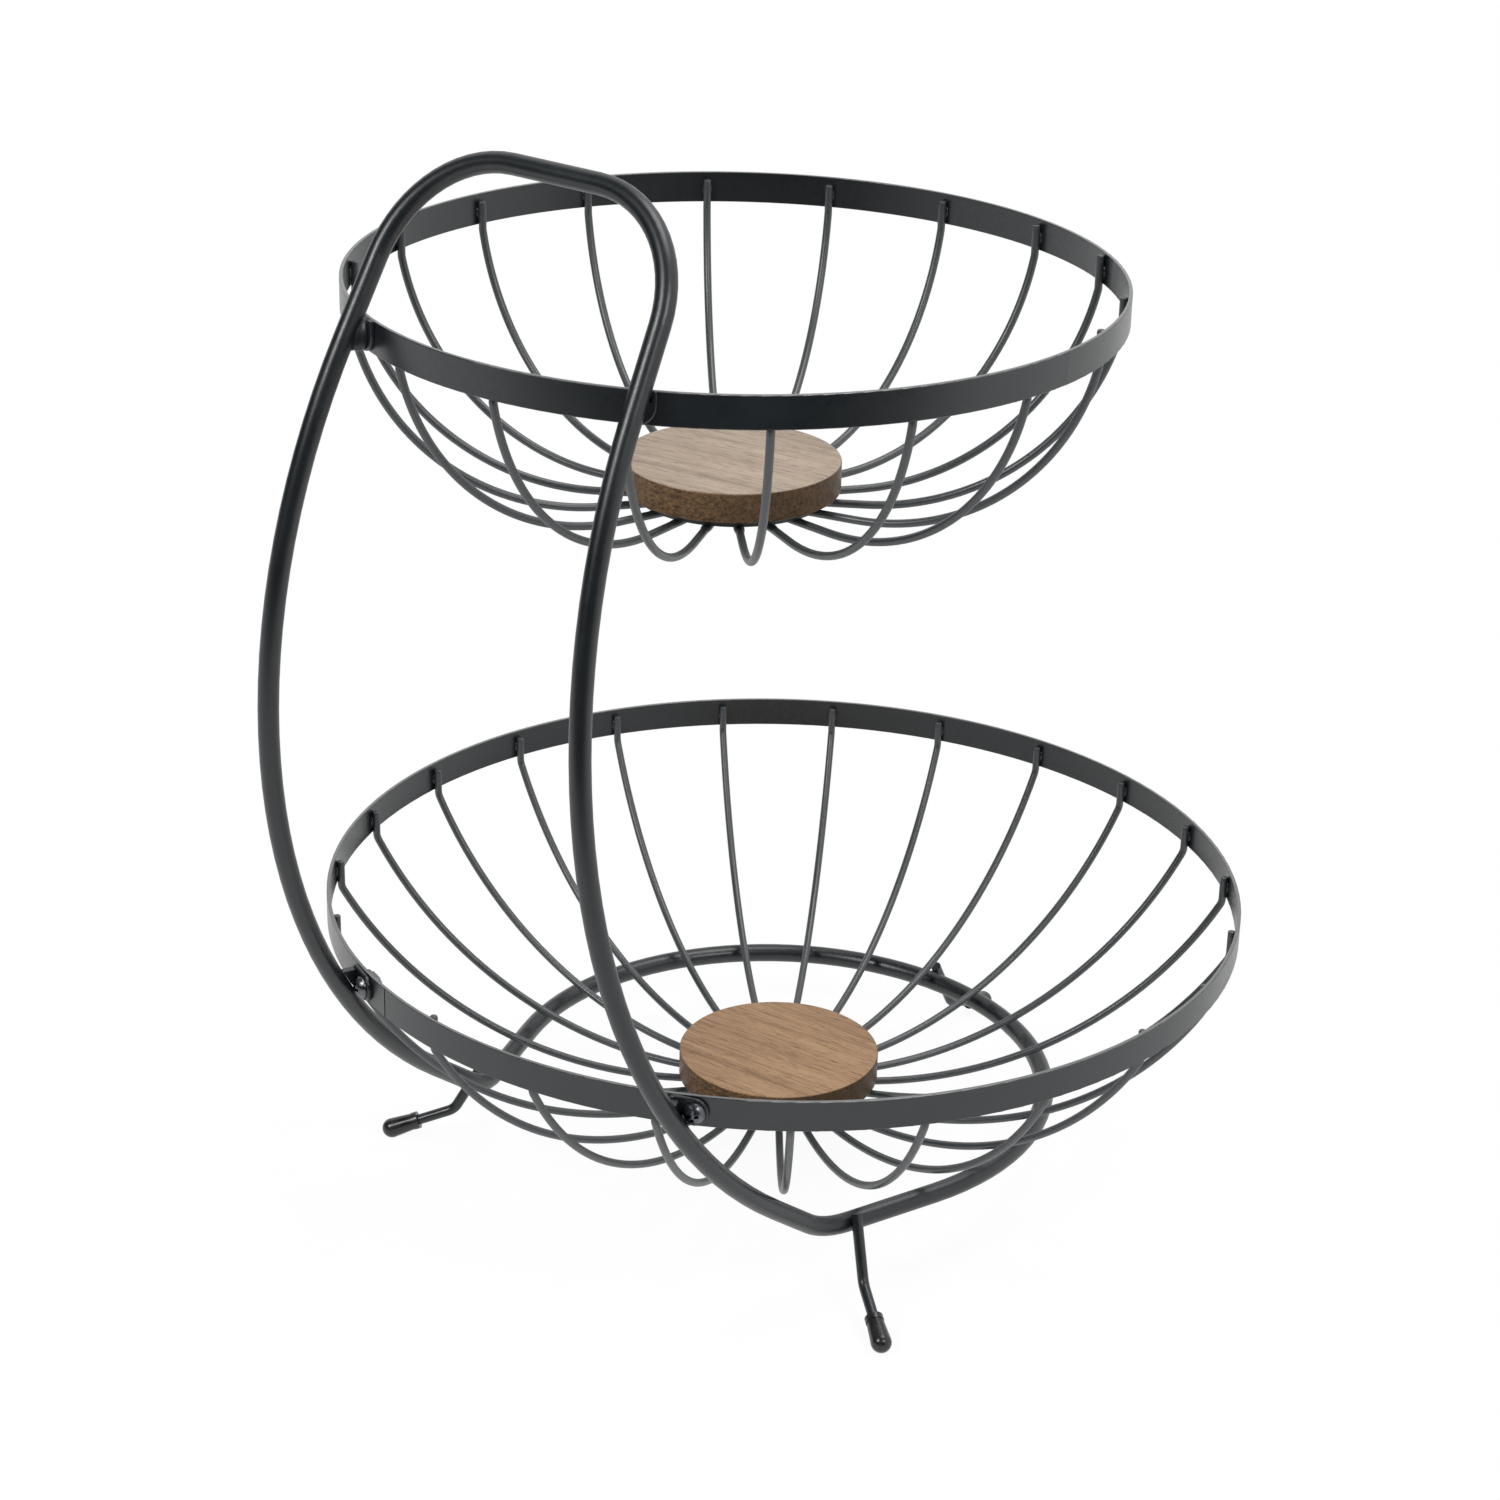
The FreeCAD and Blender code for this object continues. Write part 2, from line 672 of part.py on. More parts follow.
def make_rim_screw(side):
    """A screw along its own Z, whose seat is the outside of the lug."""
    word = "left" if side < 0 else "right"
    body = new_body("rim_screw_" + word, rim_screw_placement(side), False)
    seat = size["lug_thick"] + 2 * size["lug_clear"]
    head = size["rim_screw_head"] / 2
    height = size["rim_screw_head_height"]
    shank = size["rim_screw_dia"] / 2
    inside = seat - size["rim_screw_length"]
    outline = new_sketch(body, "outline", "XZ_Plane")
    edge = seat + size["rim_screw_head_edge"]
    points = [flat(0, seat + height), flat(0, inside), flat(shank, inside)]
    points += [flat(shank, seat), flat(head, seat), flat(head, edge)]
    curves = [Part.LineSegment(a, b) for a, b in zip(points, points[1:])]
    curves.append(dome(head, edge, seat + height))
    add_chain(outline, curves, True)
    revolve(body, outline)
    recess = new_sketch(body, "recess", "XY_Plane", seat + 2 * height)
    wide = size["recess_width"] / 2
    span = size["recess_span"] / 2
    quarter = [(span, -wide), (span, wide), (wide, wide)]
    corners = []
    for turn in range(4):
        corners += quarter
        quarter = [(-y, x) for x, y in quarter]
    add_outline(recess, corners)
    pocket(body, recess, "sizes.rim_screw_head_height + sizes.recess_depth")
    return body


def make_rim_nut(side):
    word = "left" if side < 0 else "right"
    body = new_body("rim_nut_" + word, rim_screw_placement(side), False)
    seat = -size["strip_thick"] - size["lug_clear"]
    plan = new_sketch(body, "plan", "XY_Plane", seat)
    corner = size["rim_nut_width"] / math.sqrt(3)
    angles = [math.radians(60 * step) for step in range(6)]
    add_outline(plan, [(corner * math.cos(angle), corner * math.sin(angle)) for angle in angles])
    pad(body, plan, "sizes.rim_nut_height", True)
    bore = new_sketch(body, "bore", "XY_Plane", seat)
    add_circle(bore, (0, 0), "(sizes.rim_screw_dia + sizes.thread_clear) / 2")
    pocket(body, bore, "sizes.rim_nut_height")
    return body


make_group("rim_screws", [make_rim_screw(side) for side in (-1, 1)])
make_group("rim_nuts", [make_rim_nut(side) for side in (-1, 1)])


# Feet: a wire on the outside of the base, bent out to the ground, with a cap on its end.
def rod_reach(angle):
    """Radius of the base rod's axis in the direction of a foot, and its skew to that direction."""
    angle = math.asin(math.sin(angle))
    if angle >= touch_angle:
        return size["base_radius"], 0.0
    run = ankle - touch
    side = Vec(math.cos(angle), math.sin(angle), 0)
    cross = Vec(-side.y, side.x, 0)
    share = -touch.dot(cross) / run.dot(cross)
    skew = abs(math.asin(run.normalize().dot(side)))
    return (touch + (ankle - touch) * share).dot(side), skew


def foot_line(angle):
    """A foot's points in its own upright plane, with the directions of its fall and of its toe."""
    reach, skew = rod_reach(angle)
    slope = math.radians(size["toe_slope"])
    out = flat(math.cos(slope), -math.sin(slope))
    tip = flat(reach + size["foot_out"], size["cap_radius"] - size["cap_flat"])
    bend = tip - out * size["toe_length"]
    # from the bend the wire rises to touch the outside of the base rod
    beside = (rod_radius + size["foot_dia"] / 2 + size["weld_gap"]) / math.cos(skew)
    axis = flat(reach, base_level)
    away = bend - axis
    turn = math.atan2(away.y, away.x) + math.acos(beside / away.Length)
    weld = axis + flat(math.cos(turn), math.sin(turn)) * beside
    fall = (bend - weld).normalize()
    end = tip - out * (size["cap_length"] - size["cap_radius"] - size["cap_bore_depth"])
    return weld - fall * size["foot_stub"], bend, end, tip, fall, out


def make_foot_wire(name, turn, start, bend, end, fall):
    body = new_body("foot_wire_" + name, turned(turn))
    spine = new_sketch(body, "line", "XZ_Plane")
    rounded = round_corner(start, bend, end, size["foot_bend"])
    add_chain(spine, [Part.LineSegment(start, rounded[0]), arc(rounded), Part.LineSegment(rounded[2], end)])
    profile = new_sketch(body, "section", "XY_Plane")
    across = FreeCAD.Rotation(UP, Vec(fall.x, 0, fall.y))
    profile.AttachmentOffset = FreeCAD.Placement(Vec(start.x, 0, start.y), across)
    add_circle(profile, (0, 0), "sizes.foot_dia / 2")
    pipe(body, profile, spine)


def make_foot_cap(name, turn, tip, out):
    """A cap with a collar and a round end, which widens from its neck and stands on a small flat."""
    body = new_body("foot_cap_" + name, turned(turn))
    outline = new_sketch(body, "outline", "XZ_Plane")
    across = flat(-out.y, out.x)

    def at(along, aside):
        return tip + out * along + across * aside

    round_end = size["cap_radius"]
    back = round_end - size["cap_length"]
    bore = size["foot_dia"] / 2 + size["cap_clear"]
    floor = back + size["cap_bore_depth"] + size["cap_clear"]
    shoulder = back + size["cap_collar_length"]
    collar = size["cap_collar_radius"]
    neck = size["cap_neck_radius"]
    # the widening body touches the round end
    meet = math.atan2(neck, shoulder) - math.acos(round_end / math.hypot(neck, shoulder))
    end_arc = [at(round_end * math.cos(part), round_end * math.sin(part)) for part in (meet, meet / 2, 0.0)]
    points = [end_arc[2], at(floor, 0), at(floor, bore), at(back, bore), at(back, collar)]
    points += [at(shoulder, collar), at(shoulder, neck), end_arc[0]]
    curves = [Part.LineSegment(a, b) for a, b in zip(points, points[1:])]
    curves.append(arc(end_arc))
    add_chain(outline, curves, True)
    outline.addGeometry(Part.LineSegment(end_arc[2], at(back, 0)), True)
    revolve(body, outline, "Axis0")
    ground = new_sketch(body, "ground", "XY_Plane")
    add_circle(ground, (tip.x, 0), "sizes.cap_length")
    pocket(body, ground, "sizes.cap_length")


def make_foot(name, angle):
    turn = FRONT + angle
    start, bend, end, tip, fall, out = foot_line(math.radians(turn))
    make_foot_wire(name, turn, start, bend, end, fall)
    make_foot_cap(name, turn, tip, out)


make_foot("rear", size["rear_foot_angle"])
make_foot("right", size["front_foot_angle"])
make_foot("left", -size["front_foot_angle"])

doc.recompute()
for item in doc.Objects:
    if "Invalid" in item.State or "Error" in item.State:
        raise RuntimeError("%s: %s" % (item.Label, item.State))
os.makedirs("parts", exist_ok=True)
for node in nodes:
    if node.Shape.isNull() or not node.Shape.isValid():
        raise RuntimeError("%s has no valid shape" % node.Label)
    node.Shape.exportStep("parts/%s.step" % node.Label)
print("%d nodes, base rod at %.2f, rod %.2f from the rims" % (len(nodes), base_level, stand_off))
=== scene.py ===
import bpy
import math
from mathutils import Matrix, Vector


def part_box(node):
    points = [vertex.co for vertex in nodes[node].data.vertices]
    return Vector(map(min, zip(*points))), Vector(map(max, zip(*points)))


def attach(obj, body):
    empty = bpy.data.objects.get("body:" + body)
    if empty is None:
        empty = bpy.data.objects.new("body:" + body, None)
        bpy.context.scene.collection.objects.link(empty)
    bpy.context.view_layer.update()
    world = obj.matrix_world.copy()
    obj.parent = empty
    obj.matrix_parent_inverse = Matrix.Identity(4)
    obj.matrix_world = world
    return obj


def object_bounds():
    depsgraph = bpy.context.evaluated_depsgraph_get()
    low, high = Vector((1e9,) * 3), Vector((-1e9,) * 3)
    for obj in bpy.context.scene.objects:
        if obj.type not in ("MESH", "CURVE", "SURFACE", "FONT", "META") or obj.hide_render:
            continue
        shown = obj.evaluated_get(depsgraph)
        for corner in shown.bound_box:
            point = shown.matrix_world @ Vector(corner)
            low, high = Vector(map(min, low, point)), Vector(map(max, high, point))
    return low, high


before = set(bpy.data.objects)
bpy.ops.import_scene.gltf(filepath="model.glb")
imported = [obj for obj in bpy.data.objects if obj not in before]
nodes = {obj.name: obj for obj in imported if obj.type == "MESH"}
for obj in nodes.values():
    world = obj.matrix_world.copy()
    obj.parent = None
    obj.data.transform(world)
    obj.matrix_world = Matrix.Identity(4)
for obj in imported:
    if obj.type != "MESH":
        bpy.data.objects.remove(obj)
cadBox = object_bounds()
mm = 0.001
upright = Vector((0.0, 0.0, 1.0))
plainWhite = (1.0, 1.0, 1.0, 1.0)
print("frame loaded:", len(nodes), "nodes")


# small helpers for node trees

def newTree(name):
    mat = bpy.data.materials.new(name)
    mat.use_nodes = True
    tree = mat.node_tree
    tree.nodes.clear()
    return mat, tree, tree.nodes.new("ShaderNodeOutputMaterial")


def newMaterial(name):
    mat, tree, out = newTree(name)
    shader = tree.nodes.new("ShaderNodeBsdfPrincipled")
    tree.links.new(shader.outputs["BSDF"], out.inputs["Surface"])
    return mat, tree, shader


def feed(tree, socket, value):
    if hasattr(value, "is_output"):
        tree.links.new(value, socket)
    else:
        socket.default_value = value


def addNode(tree, kind, inputs=None, **settings):
    node = tree.nodes.new(kind)
    for key, value in settings.items():
        setattr(node, key, value)
    for key, value in (inputs or {}).items():
        feed(tree, node.inputs[key], value)
    return node


def addPlace(tree):
    return addNode(tree, "ShaderNodeTexCoord").outputs["Object"]


def addUpward(tree):
    normal = addNode(tree, "ShaderNodeTexCoord").outputs["Normal"]
    return addNode(tree, "ShaderNodeSeparateXYZ", {"Vector": normal}).outputs["Z"]


def addNoise(tree, where, scale, detail, rough=0.55, distort=0.0):
    made = addNode(tree, "ShaderNodeTexNoise", {
        "Vector": where, "Scale": scale, "Detail": detail, "Roughness": rough, "Distortion": distort})
    return made.outputs["Fac"]


def addRange(tree, value, span):
    low, high, toLow, toHigh = span
    made = addNode(tree, "ShaderNodeMapRange", {
        "Value": value, "From Min": low, "From Max": high, "To Min": toLow, "To Max": toHigh})
    return made.outputs["Result"]


def addRamp(tree, value, stops, colours):
    made = addNode(tree, "ShaderNodeValToRGB", {"Fac": value})
    ramp = made.color_ramp
    while len(ramp.elements) < len(stops):
        ramp.elements.new(0.5)           # the loop below gives it its place
    for element, stop, colour in zip(ramp.elements, stops, colours):
        element.position = stop
        element.color = (*colour, 1.0)
    return made.outputs["Color"]


def addBlend(tree, share, first, second, mode="MIX"):
    made = addNode(tree, "ShaderNodeMix", {0: share}, data_type="RGBA", blend_type=mode)
    # the node's inputs 6 and 7 are its colours, and output 2 is the blend of them
    for index, value in ((6, first), (7, second)):
        feed(tree, made.inputs[index], value if hasattr(value, "is_output") else (*value, 1.0))
    return made.outputs[2]


def addMath(tree, operation, first, second):
    return addNode(tree, "ShaderNodeMath", {0: first, 1: second}, operation=operation).outputs[0]


def addBump(tree, height, distance, strength, under=None):
    inputs = {"Height": height, "Distance": distance, "Strength": strength}
    if under is not None:
        inputs["Normal"] = under
    return addNode(tree, "ShaderNodeBump", inputs).outputs["Normal"]


# black powder coat on rod, hubs, tabs and foot wires
blackCoat = {
    "deep": (0.0046, 0.0072, 0.0090),    # where the coat is thick
    "thin": (0.0088, 0.0122, 0.0146),    # where it is thin and a little grey
    "toneStops": (0.1, 0.9),
    "shine": 0.62,                       # level of the reflection, 0.5 is plain lacquer
    # noises: scale per metre, detail, roughness
    "patch": (38.0, 3.0),                # slow change of tone
    "peel": (700.0, 2.0, 0.4),           # orange peel of the baked powder
    "grain": (4200.0, 1.0),              # single grains
    # ranges: from low, from high, to low, to high
    "patchTone": (0.3, 0.7, 0.0, 0.6),
    "grainTone": (0.3, 0.7, 0.0, 0.4),
    "patchSheen": (0.3, 0.7, 0.0, 0.5),
    "peelSheen": (0.3, 0.7, 0.0, 0.5),
    "roughness": (0.0, 1.0, 0.31, 0.41),
    # bumps: height, strength
    "peelBump": (0.0025 * mm, 0.6),
    "grainBump": (0.001 * mm, 0.5),
}

# a lighter copy of the coat for the thin rib wires: its lighter base colour is painted light, for the
# light that thin wires catch
ribLitCoat = dict(
    blackCoat,
    deep=(0.0240, 0.0290, 0.0320),
    thin=(0.0360, 0.0415, 0.0450),
    roughness=(0.0, 1.0, 0.36, 0.46),
    shine=0.85,
)

# the rolled strips are smoother, and a lighter colour on their upward-facing edge is a painted
# highlight
stripCoat = dict(
    blackCoat,
    roughness=(0.0, 1.0, 0.26, 0.35),
    shine=0.74,
    # painted highlight: the colour of faces that look upwards
    edgeStainAndHighlight=(0.115, 0.118, 0.120),
    edgeMask=(0.4, 0.9, 0.0, 1.0),
)


def makeBlackCoat(name, spec):
    mat, tree, shader = newMaterial(name)
    where = addPlace(tree)
    patch, peel, grain = (addNoise(tree, where, *spec[key]) for key in ("patch", "peel", "grain"))
    patchTone = addRange(tree, patch, spec["patchTone"])
    grainTone = addRange(tree, grain, spec["grainTone"])
    tone = addMath(tree, "ADD", patchTone, grainTone)
    colour = addRamp(tree, tone, spec["toneStops"], (spec["deep"], spec["thin"]))
    # painted highlight where the spec has one: a lighter colour on faces that look upwards
    if "edgeStainAndHighlight" in spec:
        edgeMask = addRange(tree, addUpward(tree), spec["edgeMask"])
        colour = addBlend(tree, edgeMask, colour, spec["edgeStainAndHighlight"])
    patchSheen = addRange(tree, patch, spec["patchSheen"])
    peelSheen = addRange(tree, peel, spec["peelSheen"])
    sheen = addMath(tree, "ADD", patchSheen, peelSheen)
    bump = addBump(tree, peel, *spec["peelBump"])
    bump = addBump(tree, grain, *spec["grainBump"], bump)
    feed(tree, shader.inputs["Base Color"], colour)
    feed(tree, shader.inputs["Roughness"], addRange(tree, sheen, spec["roughness"]))
    feed(tree, shader.inputs["Specular IOR Level"], spec["shine"])
    feed(tree, shader.inputs["Normal"], bump)
    return mat


# stained wooden discs: fine straight grain, short open pores, dark mottled edge
stainedWood = {
    "lower_disc": {
        "light": (0.388, 0.245, 0.136),
        "middle": (0.294, 0.176, 0.095),
        "dark": (0.150, 0.080, 0.038),
        "poreTone": (0.085, 0.044, 0.021),
        "grainAngle": 2.0,               # degrees from +X
        "shine": 0.22,
        "edgeStainAndHighlight": (0.36, 0.32, 0.27),  # the sawn edge takes more stain
    },
    "upper_disc": {
        "light": (0.398, 0.311, 0.228),
        "middle": (0.303, 0.228, 0.163),
        "dark": (0.145, 0.098, 0.063),
        "poreTone": (0.085, 0.055, 0.034),
        "grainAngle": 6.0,
        "shine": 0.50,
        "edgeStainAndHighlight": (0.54, 0.43, 0.31),
    },
    "toneStops": (0.12, 0.46, 0.85),
    # dark colour of the pits in the edge, and of the painted shade on it towards +X
    "edgePitAndShade": (0.026, 0.017, 0.010),
    # lighter flecks of bare fibre, partly a painted highlight
    "edgeFleckAndGlint": (0.270, 0.140, 0.048),
    "edgeShine": 0.12,
    # noises: scale per metre along the grain, across it and upwards, then detail, roughness, distortion
    "figure": ((9.0, 75.0, 40.0), 3.0, 0.5, 0.5),        # slow change across the plank
    "ring": ((13.0, 420.0, 260.0), 4.0, 0.6, 0.35),      # growth rings, a few mm apart
    "fibre": ((55.0, 2100.0, 1400.0), 4.0, 0.6, 0.2),    # fine lines
    "pore": ((210.0, 3300.0, 2400.0), 2.0, 0.5),         # short open pores
    "mottle": ((420.0, 760.0, 900.0), 5.0, 0.7),         # dark spots on the edge
    "fleck": ((700.0, 1900.0, 1500.0), 3.0, 0.6),        # bare fibres, with painted highlight where they caught the light
    "stain": ((24.0, 60.0, 30.0), 2.0),                  # where more of these lie bare
    # ranges: from low, from high, to low, to high
    "figureTone": (0.3, 0.7, 0.0, 0.30),
    "ringTone": (0.3, 0.7, 0.0, 0.34),
    "fibreTone": (0.32, 0.68, 0.0, 0.36),
    "poreMask": (0.56, 0.66, 0.0, 0.70),
    "edgeMask": (0.85, 0.45, 0.0, 1.0),                  # by how far a face looks upwards
    "litSideMask": (30.0 * mm, -30.0 * mm, 0.10, 1.0),      # painted light: the edge counts as lit towards -X and as shaded towards +X
    "shadeMask": (1.0, 0.1, 0.0, 0.52),                  # painted shade: a darker edge towards +X, away from the light
    "mottleMask": (0.44, 0.62, 0.0, 0.70),
    "fleckAndGlintMask": (0.50, 0.63, 0.0, 1.0),
    "stainMask": (0.35, 0.65, 0.45, 1.0),
    "roughness": (0.3, 1.2, 0.36, 0.55),
    # bumps: height, strength
    "fibreBump": (0.04 * mm, 0.5),
    "poreBump": (0.06 * mm, 0.5),
    "mottleBump": (0.15 * mm, 0.6),
}


def makeStainedWood(name, spec, look, centre):
    mat, tree, shader = newMaterial(name)
    local = addNode(tree, "ShaderNodeMapping", {
        "Vector": addPlace(tree), "Location": centre,
        "Rotation": (0.0, 0.0, math.radians(look["grainAngle"]))},
        vector_type="TEXTURE").outputs["Vector"]

    def woodNoise(key):
        scales, *rest = spec[key]
        scaled = addNode(tree, "ShaderNodeMapping", {"Vector": local, "Scale": scales})
        return addNoise(tree, scaled.outputs["Vector"], 1.0, *rest)

    # the plank's own colour
    fibre = woodNoise("fibre")
    figureTone = addRange(tree, woodNoise("figure"), spec["figureTone"])
    ringTone = addRange(tree, woodNoise("ring"), spec["ringTone"])
    fibreTone = addRange(tree, fibre, spec["fibreTone"])
    tone = addMath(tree, "ADD", addMath(tree, "ADD", figureTone, ringTone), fibreTone)
    colour = addRamp(tree, tone, spec["toneStops"], (look["dark"], look["middle"], look["light"]))
    poreMask = addRange(tree, woodNoise("pore"), spec["poreMask"])
    colour = addBlend(tree, poreMask, colour, look["poreTone"])

    # the sawn edge: stained, pitted, with flecks of bare fibre, and with painted shade towards +X
    edgeMask = addRange(tree, addUpward(tree), spec["edgeMask"])
    mottle = woodNoise("mottle")
    sideways = addNode(tree, "ShaderNodeSeparateXYZ", {"Vector": local}).outputs["X"]
    # painted light: one side of the edge counts as lit, the other as shaded
    litSide = addRange(tree, sideways, spec["litSideMask"])
    fleckAndGlintMask = addRange(tree, woodNoise("fleck"), spec["fleckAndGlintMask"])
    stainMask = addRange(tree, woodNoise("stain"), spec["stainMask"])
    fleckAndGlintMask = addMath(tree, "MULTIPLY", addMath(tree, "MULTIPLY", fleckAndGlintMask, stainMask), litSide)
    edge = addBlend(tree, 1.0, colour, look["edgeStainAndHighlight"], "MULTIPLY")
    # painted shade on the side of the edge towards +X
    edge = addBlend(tree, addRange(tree, litSide, spec["shadeMask"]), edge, spec["edgePitAndShade"])
    edge = addBlend(tree, addRange(tree, mottle, spec["mottleMask"]), edge, spec["edgePitAndShade"])
    # flecks of bare fibre with painted highlight, mostly on the lit side towards -X
    edge = addBlend(tree, fleckAndGlintMask, edge, spec["edgeFleckAndGlint"])

    bump = addBump(tree, fibre, *spec["fibreBump"])
    bump = addBump(tree, addMath(tree, "SUBTRACT", 1.0, poreMask), *spec["poreBump"], bump)
    bump = addBump(tree, addMath(tree, "MULTIPLY", mottle, edgeMask), *spec["mottleBump"], bump)
    rough = addRange(tree, addMath(tree, "ADD", fibre, poreMask), spec["roughness"])
    shine = addRange(tree, edgeMask, (0.0, 1.0, look["shine"], spec["edgeShine"]))
    feed(tree, shader.inputs["Base Color"], addBlend(tree, edgeMask, colour, edge))
    feed(tree, shader.inputs["Roughness"], rough)
    feed(tree, shader.inputs["Specular IOR Level"], shine)
    feed(tree, shader.inputs["Normal"], bump)
    return mat


# dark plated screws and nuts
darkSteel = {
    "deep": (0.084, 0.088, 0.097),
    "bright": (0.200, 0.207, 0.226),
    "toneStops": (0.3, 0.7),
    "cloud": (420.0, 4.0, 0.6),          # noises as in the coat
    "turning": (2600.0, 2.0),
    "roughness": (0.1, 0.45, 0.24, 0.40),
    "turningBump": (0.01 * mm, 0.4),
}


def makeDarkSteel(name, spec):
    mat, tree, shader = newMaterial(name)
    where = addPlace(tree)
    cloud = addNoise(tree, where, *spec["cloud"])
    turning = addNoise(tree, where, *spec["turning"])
    colour = addRamp(tree, cloud, spec["toneStops"], (spec["deep"], spec["bright"]))
    rough = addRange(tree, addMath(tree, "MULTIPLY", cloud, turning), spec["roughness"])
    feed(tree, shader.inputs["Base Color"], colour)
    feed(tree, shader.inputs["Roughness"], rough)
    feed(tree, shader.inputs["Metallic"], 1.0)
    feed(tree, shader.inputs["Normal"], addBump(tree, turning, *spec["turningBump"]))
    return mat


# moulded caps on the feet
glossCap = {
    "deep": (0.0100, 0.0102, 0.0106),
    "worn": (0.0240, 0.0240, 0.0245),
    "toneStops": (0.35, 0.75),
    "cloud": (240.0, 3.0),               # noises as in the coat
    "skin": (1700.0, 2.0),
    "roughness": (0.3, 0.7, 0.20, 0.34),
    "skinBump": (0.004 * mm, 0.4),
}


def makeGlossCap(name, spec):
    mat, tree, shader = newMaterial(name)
    where = addPlace(tree)
    cloud = addNoise(tree, where, *spec["cloud"])
    skin = addNoise(tree, where, *spec["skin"])
    colour = addRamp(tree, cloud, spec["toneStops"], (spec["deep"], spec["worn"]))
    feed(tree, shader.inputs["Base Color"], colour)
    feed(tree, shader.inputs["Roughness"], addRange(tree, cloud, spec["roughness"]))
    feed(tree, shader.inputs["Normal"], addBump(tree, skin, *spec["skinBump"]))
    return mat


coat = makeBlackCoat("blackCoat", blackCoat)
# the rib wires' coat, whose lighter base colour is painted light
litCoat = makeBlackCoat("ribLitCoat", ribLitCoat)
flatCoat = makeBlackCoat("stripCoat", stripCoat)
steel = makeDarkSteel("darkSteel", darkSteel)
capGloss = makeGlossCap("glossCap", glossCap)


def dress(obj, mat):
    obj.data.materials.clear()
    obj.data.materials.append(mat)


for nodeName, obj in nodes.items():
    if nodeName.endswith("_disc"):
        low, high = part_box(nodeName)
        look = stainedWood[nodeName]
        dress(obj, makeStainedWood("stainedWood_" + nodeName, stainedWood, look, (low + high) / 2))
    elif nodeName in ("rim_screws", "rim_nuts", "disc_screws"):
        dress(obj, steel)
    elif nodeName.startswith("foot_cap"):
        dress(obj, capGloss)
    elif "_rib_" in nodeName:
        dress(obj, litCoat)
    elif nodeName.endswith("_rim"):
        dress(obj, flatCoat)
    else:
        dress(obj, coat)
print("materials set on", len(nodes), "nodes")


# weld metal under the coat, each kind a blob of its own size
weldMetal = {
    "strip": {                           # a flat blob between rib end and strip
        "length": 4.6 * mm, "width": 4.0 * mm, "height": 1.7 * mm, "taper": 0.80,
        "rough": 0.10 * mm, "seed": 3,
        "down": 2.6 * mm,                # from the rib's end
        "endBand": 2.0 * mm,             # part of the rib that its outer side is read from
    },
    "hub": {                             # a drop at the edge of the hub plate, thin end outwards
        "length": 15.0 * mm, "width": 3.9 * mm, "height": 2.9 * mm, "taper": 0.82,
        "rough": 0.02 * mm, "seed": 8,
        "reach": -1.6 * mm,              # from the plate's edge
        "rise": 0.25 * mm,               # into the plate
    },
    "foot": {                            # a bead between foot wire and base rod
        "length": 6.2 * mm, "width": 5.0 * mm, "height": 2.4 * mm, "taper": 0.85,
        "rough": 0.18 * mm, "seed": 5,
        "rodRadius": 3.15 * mm,
        "below": 1.0 * mm,               # part of the wire, under the rod's middle, that counts too
    },
    "tab": {                             # a seam between leg and upper tab
        "length": 11.0 * mm, "width": 5.0 * mm, "height": 7.4 * mm, "taper": 0.96,
        "rough": 0.10 * mm, "seed": 6,
        "legReach": 20.0 * mm,           # part of the leg, up and down, that its slope is read from
        "aside": 4.2 * mm,               # from the leg's middle line
        "rise": 2.3 * mm,                # along the leg from the tab's middle
    },
    "segments": 10,
    "rings": 6,
    "thinFrom": (0.1, 0.3),              # shares of the length past which a blob tapers
    "smoothing": 1,
}


def pickVerts(obj, test):
    bpy.ops.object.mode_set(mode="OBJECT")
    for face in obj.data.polygons:
        face.select = False
    for edge in obj.data.edges:
        edge.select = False
    for vertex in obj.data.vertices:
        vertex.select = test(vertex.co)
    bpy.context.tool_settings.mesh_select_mode = (True, False, False)
    bpy.ops.object.mode_set(mode="EDIT")


def makeBlob(name, kind):
    spec = weldMetal[kind]
    bpy.ops.object.select_all(action="DESELECT")
    bpy.ops.mesh.primitive_uv_sphere_add(
        segments=weldMetal["segments"], ring_count=weldMetal["rings"], radius=0.5)
    blob = bpy.context.object
    blob.name = name
    bpy.ops.object.mode_set(mode="EDIT")
    bpy.ops.mesh.select_mode(type="VERT")
    bpy.ops.mesh.select_all(action="SELECT")
    bpy.ops.transform.rotate(value=math.pi / 2, orient_axis="Y", center_override=(0.0, 0.0, 0.0))
    bpy.ops.transform.resize(value=(spec["length"], spec["width"], spec["height"]))
    # the half along +X runs out thinner
    for share in weldMetal["thinFrom"]:
        pickVerts(blob, lambda p: p.x > share * spec["length"])
        bpy.ops.transform.resize(value=(1.0, spec["taper"], spec["taper"]))
    bpy.ops.mesh.select_all(action="SELECT")
    bpy.ops.transform.vertex_random(offset=spec["rough"], uniform=0.0, normal=1.0, seed=spec["seed"])
    bpy.ops.mesh.normals_make_consistent(inside=False)
    bpy.ops.object.mode_set(mode="OBJECT")
    smooth = blob.modifiers.new("smooth", "SUBSURF")
    smooth.levels = weldMetal["smoothing"]
    smooth.render_levels = weldMetal["smoothing"]
    bpy.ops.object.modifier_apply(modifier=smooth.name)
    bpy.ops.object.shade_smooth()
    return blob


# cut ends of the rib wires, which stand a little higher than the solids have them
ribTips = {
    "radius": 1.26 * mm,
    "sides": 18,
    "rise": 1.2 * mm,
    "root": 0.6 * mm,                    # how far a tip reaches down over its rib
    "edge": 0.3 * mm,
    "edgeSteps": 2,
    "smoothAngle": 40.0,
    "endBand": 0.3 * mm,                 # part of the rib that the middle of its end is read from
    "taller": {                          # ends that show over the strips in the photograph
        "lower_rib_12": 3.3 * mm,
        "lower_rib_18": 2.6 * mm,
        "upper_rib_15": 2.9 * mm,
        "upper_rib_17": 2.8 * mm,
        "upper_rib_18": 1.8 * mm,
    },
}


